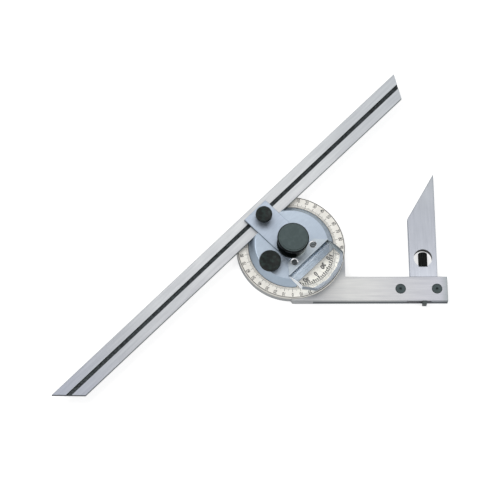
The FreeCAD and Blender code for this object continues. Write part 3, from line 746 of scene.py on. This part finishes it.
lens = {
    "leftMm": -16.0,
    "rightMm": 18.0,
    "innerMm": -13.4,
    "radiusMm": 32.8,
    "bottomMm": 9.0,
    "sideTopMm": 10.6,
    "crownMm": 4.0,                 # the crown stands this much above the sides
    "leftCornerMm": (24.2, 1.2),    # reach of the left end, and how fast the cut corner falls off from it
    "rightCornerMm": (25.8, 0.95),
    "greyFromMm": 29.8,             # the rim of the underside is painted grey shade from this radius out
    "darkFromMm": 16.6,             # and its right end gets darker painted shade from here on
    "columns": 64,
    "rows": 48,
}


def lensLimit(x):
    # The lens's outer edge follows the dial, with both corners cut off.
    leftEnd, leftFall = lens["leftCornerMm"]
    rightEnd, rightFall = lens["rightCornerMm"]
    return -min(math.sqrt(lens["radiusMm"] ** 2 - x * x), leftEnd + (x - lens["leftMm"]) * leftFall,
                rightEnd + (lens["rightMm"] - x) * rightFall)


def addLens():
    inner, outer, bottom, crown = lens["innerMm"], -lens["radiusMm"], lens["bottomMm"], lens["crownMm"]
    columns, rows = lens["columns"], lens["rows"]
    middle, half = (inner + outer) / 2, (inner - outer) / 2
    curve = (half * half + crown * crown) / (2 * crown)
    curveCentre = lens["sideTopMm"] + crown - curve
    vertices, top, under = [], [], []
    for grid in (top, under):
        for column in range(columns + 1):
            x = lens["leftMm"] + (lens["rightMm"] - lens["leftMm"]) * column / columns
            limit = lensLimit(x)
            grid.append([])
            for row in range(rows + 1):
                y = inner + (limit - inner) * row / rows
                z = curveCentre + math.sqrt(curve * curve - (y - middle) ** 2) if grid is top else bottom
                grid[column].append(len(vertices))
                vertices.append(onTurret(x, y, z))
    faces = []
    for column in range(columns):
        for row in range(rows):
            corners = [(column, row), (column, row + 1), (column + 1, row + 1), (column + 1, row)]
            faces.append([top[a][b] for a, b in corners])
            faces.append([under[a][b] for a, b in reversed(corners)])
    for column in range(columns):
        faces.append([top[column + 1][0], top[column][0], under[column][0], under[column + 1][0]])
    rimFrom = len(faces)
    for column in range(columns):
        faces.append([top[column][-1], top[column + 1][-1], under[column + 1][-1], under[column][-1]])
    endsFrom = len(faces)
    for row in range(rows):
        for column in (0, columns):
            wall = [top[column][row], top[column][row + 1], under[column][row + 1], under[column][row]]
            faces.append(wall if column == 0 else wall[::-1])
    mesh = meshOf("lens", vertices, faces)
    addPiece("magnifier_lens_polished", mesh, glass, "turret", "magnifier_lens", 25)
    shadeLens(mesh, rimFrom, endsFrom)
    shape = bmesh.new()
    shape.from_mesh(mesh)
    bmesh.ops.recalc_face_normals(shape, faces=shape.faces)
    shape.to_mesh(mesh)
    shape.free()


def shadeLens(mesh, rimFrom, endsFrom):
    # Matt walls round the polished glass, in painted light and shade: bright on the left, grey at the rim and
    # dark on the right.
    for material in (paintedLightGlass, paintedShadeGlass, darkPaintedShadeGlass):
        mesh.materials.append(material)
    matt, shaded, dark = 1, 2, 3
    across = onTurret(1, 0, 0).normalized()
    for polygon in mesh.polygons:
        centre = polygon.center / mm
        along = centre.dot(across)
        isUnder = centre.z < lens["bottomMm"] + sameMm
        if polygon.index >= endsFrom:
            polygon.material_index = matt if along < 0 else dark
        elif polygon.index >= rimFrom:
            polygon.material_index = shaded
        elif isUnder and centre.xy.length > lens["greyFromMm"]:
            polygon.material_index = shaded
        elif isUnder and along > lens["darkFromMm"]:
            polygon.material_index = dark


addLens()


# Screws

def ringPlaces(count, startDegrees, radius):
    angles = [math.radians(startDegrees + 360 * index / count) for index in range(count)]
    return [(radius * math.cos(angle), radius * math.sin(angle)) for angle in angles]


smallScrew = {"headMm": 1.6, "shankMm": 0.8, "heightMm": 0.8, "edgeMm": 0.12, "slotMm": 0.4,
              "slotDepthMm": 0.35, "steps": 32}
smallScrewSets = {
    "lens_frame_screws": {"places": placesOnTurret(bracket["screwsMm"]), "faceMm": bracket["footTopMm"],
                          "lengthMm": 2.9, "isDown": False, "steel": frameScrewSteel, "body": "turret"},
    "dial_screws": {"places": ringPlaces(4, 20.0, 29.5), "faceMm": 0.0, "lengthMm": 5.2, "isDown": True,
                    "steel": screwSteel, "body": "base"},
    "stud_screws": {"places": ringPlaces(3, -90.0, 5.4), "faceMm": 0.0, "lengthMm": 3.2, "isDown": True,
                    "steel": screwSteel, "body": "base"},
}


def slottedScrew(x, y, face, length, isDown):
    # A cheese head with a driver slot, its flat face at the height given, in millimetres.
    head, shank, height, edge = (smallScrew[key] for key in ("headMm", "shankMm", "heightMm", "edgeMm"))
    profile = [(0, -length), (shank, -length), (shank, -height), (head, -height), (head, -edge)]
    profile += [(head - edge, 0), (0, 0)]
    half, far = smallScrew["slotMm"] / 2, head + pastMm
    slot = blockMesh((-far, -half, -smallScrew["slotDepthMm"]), (far, half, pastMm))
    mesh = carve(turnedMesh(profile, smallScrew["steps"]), [slot])
    flip = Matrix.Rotation(math.pi, 4, "X") if isDown else Matrix.Identity(4)
    turn = Matrix.Rotation(1.1 + 0.407 * x + 0.231 * y, 4, "Z")     # each slot stands its own way
    mesh.transform(Matrix.Translation(Vector((x, y, face)) * mm) @ flip @ turn)
    return mesh


for node, look in smallScrewSets.items():
    meshes = [slottedScrew(x, y, look["faceMm"], look["lengthMm"], look["isDown"]) for x, y in look["places"]]
    addPiece(node + "_slotted", joinMeshes(node, meshes), look["steel"], look["body"], node)

barScrew = {"placesMm": [(66.2, -26.7), (88.5, -26.7)], "headMm": 3.2, "shankMm": 1.5, "topMm": 5.0,
            "headLowMm": 3.2, "lowMm": 0.3, "socketMm": 0.95, "socketDepthMm": 1.1, "rimMm": 0.3,
            "stepMm": 0.9}


def addBarScrews():
    # Socket screws, each with a narrow step round the rim of its head.
    top, head, shank, rim = (barScrew[key] for key in ("topMm", "headMm", "shankMm", "rimMm"))
    low, headLow, socket = (barScrew[key] for key in ("lowMm", "headLowMm", "socketMm"))
    step, floor, over = top - barScrew["stepMm"], top - barScrew["socketDepthMm"], top + pastMm
    profile = [(0, low), (shank, low), (shank, headLow), (head, headLow), (head, step)]
    profile += [(head - rim, step), (head - rim, top), (0, top)]
    hexagon = [(0, floor), (socket, floor), (socket, over), (0, over)]
    meshes = [carve(turnedMesh(profile, 64, place), [turnedMesh(hexagon, 6, place)])
              for place in barScrew["placesMm"]]
    addPiece("bar_screws_socket", joinMeshes("bar_screws", meshes), greySteel, "base",
             "bar_screws")


addBarScrews()
print("turret, lens and screws made")


# Knobs

knurl = {
    "pitchMm": 0.8,             # spacing of the knurl's diamonds round the rim
    "depthMm": 0.28,
    "bevelMm": 0.4,
    "rows": 10,
    "stepsEach": 6,             # corners round the rim for each diamond
    "dishMm": 0.12,
    "dishShares": (0.62, 0.56),  # the dish's slope runs between these shares of the radius
    "neckEdgeMm": 0.2,
}
clampKnob = {"radiusMm": 5.12, "neckMm": 3.0, "lowMm": 12.0, "headLowMm": 15.2, "topMm": 18.4}
fineKnob = {"radiusMm": 6.7, "neckMm": 4.2, "lowMm": 10.9, "headLowMm": 12.3, "topMm": 15.8}


def addKnurledKnob(name, look, centre, body, node):
    radius, neck, low, headLow, top = (look[key] for key in (
        "radiusMm", "neckMm", "lowMm", "headLowMm", "topMm"))
    count = round(2 * math.pi * radius / knurl["pitchMm"])
    rise = 2 * math.pi / knurl["pitchMm"]

    def reach(angle, out, height):
        if out < radius - sameMm:
            return out
        waves = [abs(((count * angle + side * rise * (height - low)) / math.pi) % 2 - 1) for side in (-1, 1)]
        return radius - knurl["depthMm"] * (1 - min(waves))

    bevel, rows, dish, edge = knurl["bevelMm"], knurl["rows"], knurl["dishMm"], knurl["neckEdgeMm"]
    dishOuter, dishInner = (radius * share for share in knurl["dishShares"])
    profile = [(0, low), (neck - edge, low), (neck, low + edge), (neck, headLow), (radius - bevel, headLow)]
    span = top - headLow - 2 * bevel
    profile += [(radius, headLow + bevel + span * row / rows) for row in range(rows + 1)]
    profile += [(radius - bevel, top), (dishOuter, top), (dishInner, top - dish), (0, top - dish)]
    mesh = turnedMesh(profile, count * knurl["stepsEach"], centre, reach)
    addPiece(name, mesh, blackSteel, body, node, 40)


addKnurledKnob("clamp_knob_knurled", clampKnob, placesOnTurret([(0, 24.2)])[0], "clamp_knob",
               "blade_clamp_knob")
addKnurledKnob("fine_knob_knurled", fineKnob, pinionCentre, "fine_adjust", "fine_adjust_knob")

lockKnob = {
    "neckMm": 5.4,
    "headMm": 9.7,
    "lowMm": 12.6,
    "headLowMm": 20.4,
    "topMm": 22.9,
    "bevelMm": 0.6,
    "edgeMm": 0.3,
    "grooveLevelsMm": (14.6, 17.2),     # two grooves round the neck
    "grooveMm": 1.15,
    "grooveDepthMm": 0.7,
    "grooveSlopeMm": 0.25,
    "shoulderMm": 0.4,
    "capMm": 8.3,
    "capTopMm": 23.4,
    "capEdgeMm": 0.15,
    "washerMm": 9.3,
    "washerLowMm": 11.6,
    "washerEdgeMm": 0.2,
    "boreMm": 4.1,
    "steps": 144,
}


def addLockKnob():
    neck, head, low, top = (lockKnob[key] for key in ("neckMm", "headMm", "lowMm", "topMm"))
    headLow, bevel, edge = (lockKnob[key] for key in ("headLowMm", "bevelMm", "edgeMm"))
    floor, slope = neck - lockKnob["grooveDepthMm"], lockKnob["grooveSlopeMm"]
    profile = [(0, low), (neck - edge, low), (neck, low + edge)]
    for level in lockKnob["grooveLevelsMm"]:
        end = level + lockKnob["grooveMm"]
        profile += [(neck, level), (floor, level + slope), (floor, end - slope), (neck, end)]
    profile += [(neck, headLow - lockKnob["shoulderMm"]), (head - edge, headLow), (head, headLow + edge)]
    profile += [(head, top - bevel), (head - bevel, top), (0, top)]
    knob = turnedMesh(profile, lockKnob["steps"])
    addPiece("lock_knob_turned", knob, blackPlastic, "lock", "lock_knob")
    # The knob's top face takes the cap's lighter grey: painted light on the upward face.
    knob.materials.append(capPaintedLight)
    for polygon in knob.polygons:
        if polygon.center.z > (top - sameMm) * mm:
            polygon.material_index = 1


def addLockCap():
    low, cap, top, edge = (lockKnob[key] for key in ("topMm", "capMm", "capTopMm", "capEdgeMm"))
    disc = [(0, low), (cap, low), (cap, top - edge), (cap - edge, top), (0, top)]
    addPiece("lock_cap_disc", turnedMesh(disc, lockKnob["steps"]), capPaintedLight, "lock",
             "lock_knob_cap")


def addLockWasher():
    washer, bore, low, edge = (lockKnob[key] for key in ("washerMm", "boreMm", "washerLowMm", "washerEdgeMm"))
    top = lockKnob["lowMm"]
    ring = [(bore, low), (washer, low), (washer, top - edge), (washer - edge, top), (bore, top)]
    addPiece("lock_washer_turned", turnedMesh(ring, lockKnob["steps"], isRing=True), washerSteelPaintedLight,
             "lock_pressure_washer", "lock_washer")


addLockKnob()
addLockCap()
addLockWasher()

nut = {"centreMm": (80.65, 2.85), "lowMm": -12.29, "lengthMm": 9.4, "radiusMm": 2.8, "boreMm": 1.35,
       "bevelMm": 0.55, "flutes": 12, "fluteMm": 0.3, "stepsEach": 12}


def addNut():
    # Fluted black nut in the attachment's window, turned about an axis along +Y.
    radius, length, bevel, bore = (nut[key] for key in ("radiusMm", "lengthMm", "bevelMm", "boreMm"))

    def reach(angle, out, height):
        if out < radius - bevel:
            return out
        return out - nut["fluteMm"] * (0.5 - 0.5 * math.cos(nut["flutes"] * angle)) ** 3

    profile = [(bore, 0), (radius - bevel, 0), (radius, bevel), (radius, length - bevel)]
    profile += [(radius - bevel, length), (bore, length)]
    mesh = turnedMesh(profile, nut["flutes"] * nut["stepsEach"], reach=reach, isRing=True)
    x, z = nut["centreMm"]
    place = Vector((x, nut["lowMm"], z)) * mm
    mesh.transform(Matrix.Translation(place) @ Matrix.Rotation(-math.pi / 2, 4, "X"))
    addPiece("attachment_nut_fluted", mesh, nutSteel, "nut", "attachment_nut", 35)


addNut()
print("knobs and nut turned")


# Stage, camera and light

stage = {"halfM": 3.0, "levelMm": -0.2, "paper": "#c8c8c8", "glow": 0.72, "reflected": 0.4, "fill": 0.42}


def seenDirectly(tree):
    # One for rays from the camera, from gloss and through glass, which all see the white background.
    path = addNode(tree, "LightPath").outputs
    seen = addNode(tree, "Math", {0: path["Is Camera Ray"], 1: path["Is Glossy Ray"]}, operation="MAXIMUM")
    return addNode(tree, "Math", {0: seen, 1: path["Is Transmission Ray"]}, operation="MAXIMUM")


def floorMaterial():
    # Pale paper: white to the camera with the object's soft shadow left on it, and clear from below, so
    # that the back of the object can be looked at.
    material, tree = newMaterial("paper_floor")
    paper = addNode(tree, "BsdfDiffuse", {"Color": linear(stage["paper"])})
    glossy = addNode(tree, "LightPath").outputs["Is Glossy Ray"]
    level = addNode(tree, "MapRange", {
        "Value": glossy, "To Min": stage["glow"], "To Max": stage["reflected"]})
    glow = addNode(tree, "Emission", {"Color": linear("#ffffff"), "Strength": level})
    dark = addNode(tree, "Emission", {"Strength": 0.0})
    choice = addNode(tree, "MixShader", {0: seenDirectly(tree), 1: dark, 2: glow})
    lit = addNode(tree, "AddShader", {0: paper, 1: choice})
    clear = addNode(tree, "BsdfTransparent")
    under = addNode(tree, "NewGeometry").outputs["Backfacing"]
    shader = addNode(tree, "MixShader", {0: under, 1: lit, 2: clear})
    addNode(tree, "OutputMaterial", {"Surface": shader})
    return material


def addFloor():
    half, level = stage["halfM"], stage["levelMm"] * mm
    corners = [(-half, -half, level), (half, -half, level), (half, half, level), (-half, half, level)]
    mesh = meshOf("floor", corners, [(0, 1, 2, 3)])
    mesh.materials.append(floorMaterial())
    floor = newObject("floor", mesh)


def addWorld():
    world = bpy.data.worlds.new("studio")
    world.use_nodes = True
    tree = world.node_tree
    tree.nodes.clear()
    fill = addNode(tree, "Background", {"Color": linear("#ffffff"), "Strength": stage["fill"]})
    white = addNode(tree, "Background", {"Color": linear("#ffffff"), "Strength": 1.0})
    mixed = addNode(tree, "MixShader", {0: seenDirectly(tree), 1: fill, 2: white})
    addNode(tree, "OutputWorld", {"Surface": mixed})
    bpy.context.scene.world = world


lamps = {
    "key": {"place": (-0.55, 0.35, 0.9), "watts": 5.0, "size": 0.7},
    "fill": {"place": (0.7, -0.5, 0.8), "watts": 2.5, "size": 0.9},
}


def addLamp(name, place, watts, size):
    # A square soft box that looks at the dial's centre.
    lamp = bpy.data.lights.new(name, "AREA")
    lamp.energy = watts
    lamp.size = size
    holder = newObject(name, lamp)
    holder.location = place
    holder.rotation_euler = (-Vector(place)).to_track_quat("-Z", "Y").to_euler()


view = {
    "sineOfTilt": 0.93,         # the share of the dial's face that shows across the view
    "turnDegrees": 12.96,
    "rollDegrees": 12.0,
    "pixelsPerMm": 1.639,
    "pictureSize": 500,
    "lensMm": 500.0,
    "sensorMm": 36.0,
    "targetRightMm": -24.558,
    "targetUpMm": 0.5125,
    "clipM": (0.1, 50.0),
}


def addCamera():
    sine = view["sineOfTilt"]
    cosine = math.sqrt(1 - sine * sine)
    turn, roll = math.radians(view["turnDegrees"]), math.radians(view["rollDegrees"])
    across = Vector((math.cos(turn), -math.sin(turn), 0))
    upward = Vector((sine * math.sin(turn), sine * math.cos(turn), cosine))
    back = Vector((-cosine * math.sin(turn), -cosine * math.cos(turn), sine))
    right = across * math.cos(roll) + upward * math.sin(roll)
    up = -across * math.sin(roll) + upward * math.cos(roll)
    width = view["pictureSize"] / view["pixelsPerMm"]
    distance = width * view["lensMm"] / view["sensorMm"]
    target = right * view["targetRightMm"] + up * view["targetUpMm"]
    place = (target + back * distance) * mm
    optics = bpy.data.cameras.new("camera")
    optics.type = "PERSP"
    optics.lens = view["lensMm"]
    optics.sensor_width = view["sensorMm"]
    optics.clip_start, optics.clip_end = view["clipM"]
    camera = newObject("camera", optics)
    rows = [(right[axis], up[axis], back[axis], place[axis]) for axis in range(3)]
    camera.matrix_world = Matrix(rows + [(0, 0, 0, 1)])
    bpy.context.scene.camera = camera


addFloor()
addWorld()
for name, look in lamps.items():
    addLamp(name, **look)
addCamera()
bpy.context.scene.view_settings.view_transform = "Standard"
print("stage, lamps and camera set")
